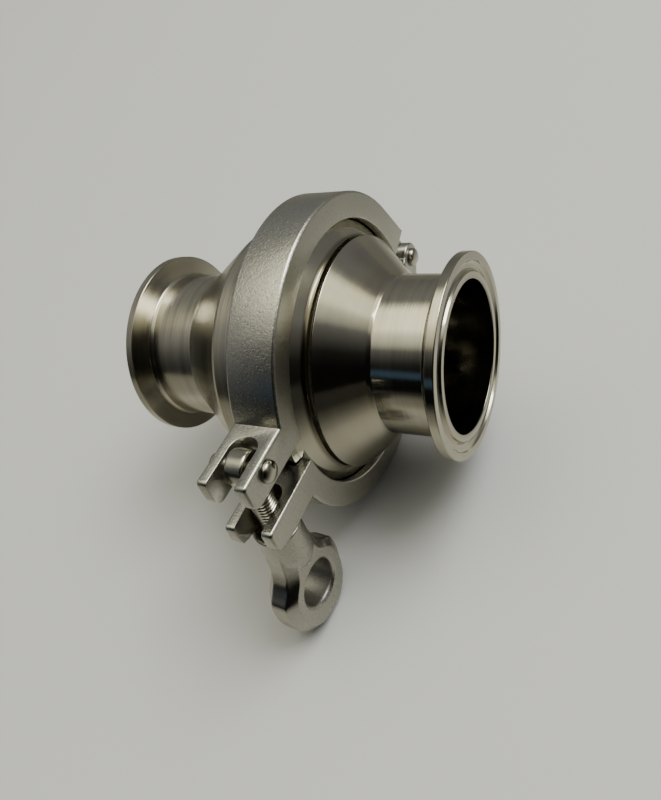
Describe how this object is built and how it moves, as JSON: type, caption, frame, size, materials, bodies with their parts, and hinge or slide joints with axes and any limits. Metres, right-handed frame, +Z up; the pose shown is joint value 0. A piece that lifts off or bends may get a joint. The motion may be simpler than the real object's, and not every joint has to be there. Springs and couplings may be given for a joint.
{
  "type": "sanitary clamp check valve",
  "caption": "Spring check valve in stainless steel with clamp ferrules at both ends, opened by a hinged centre clamp with a swing bolt and a wing nut.",
  "frame": {"origin": "on the ground under the middle of the bounding box, with the clamp ring and the wing nut on the ground", "axes": "+X along the valve axis towards the inlet ferrule, +Y from the swing bolt towards the clamp's hinge, +Z up"},
  "size_m": [0.111, 0.1418, 0.1026],
  "materials": {
    "turned_steel": "fine turned and polished stainless steel",
    "cast_steel": "cast stainless steel, tumbled, with a faint orange-peel surface",
    "polished_casting": "cast stainless steel, polished",
    "pin_steel": "bright turned stainless steel",
    "spring_steel": "drawn stainless wire and stamped strip",
    "black_rubber": "matt black elastomer",
    "white_ptfe": "plain white PTFE",
    "bronze": "machined bronze"
  },
  "bodies": {
    "body": {"inlet_body": "turned_steel", "outlet_body": "turned_steel", "body_gasket": "black_rubber", "guide_spider": "turned_steel", "guide_bush": "white_ptfe", "guide_retaining_ring": "spring_steel", "spring": "spring_steel", "clamp_lower_half": "cast_steel", "hinge_pin": "pin_steel"},
    "poppet": {"poppet_disc": "turned_steel", "poppet_oring": "black_rubber", "oring_retainer": "turned_steel", "lock_washer": "turned_steel", "retainer_nut": "turned_steel", "poppet_stem": "turned_steel", "stem_clip": "spring_steel", "spring_seat": "turned_steel"},
    "clamp_upper": {"clamp_upper_half": "cast_steel", "swing_bolt_pin": "pin_steel"},
    "swing_bolt": {"swing_bolt": "pin_steel"},
    "nut_insert": {"nut_insert": "bronze"},
    "wing_nut": {"wing_nut": "polished_casting"}
  },
  "joints": [
    {"name": "poppet_slide", "type": "slide", "parent": "body", "child": "poppet", "axis": [-1, 0, 0], "range_m": [0, 0.01], "stiffness_N_per_m": 800, "springref_m": -0.006, "deforming": ["spring"]},
    {"name": "clamp_hinge", "type": "hinge", "parent": "body", "child": "clamp_upper", "pos_m": [0.0091, 0.06558, 0.0419], "axis": [-1, 0, 0], "range_deg": [0, 3.98]},
    {"name": "swing_bolt_hinge", "type": "hinge", "parent": "clamp_upper", "child": "swing_bolt", "pos_m": [0.0091, -0.04525, 0.0721], "axis": [-1, 0, 0], "range_deg": [0, 135]},
    {"name": "nut_travel", "type": "slide", "parent": "swing_bolt", "child": "nut_insert", "axis": [0, -0.1754, -0.9845], "range_m": [0, 0.009]},
    {"name": "nut_spin", "type": "hinge", "parent": "nut_insert", "child": "wing_nut", "pos_m": [0.0094, -0.05407, 0.02258], "axis": [0, -0.1754, -0.9845], "range_deg": [0, 2593]}
  ],
  "couplings": [
    {"joint": "nut_spin", "follows": "nut_travel", "rad_per_m": 5026.6},
    {"joint": "clamp_hinge", "follows": "nut_travel", "rad_per_m": 7.7}
  ]
}
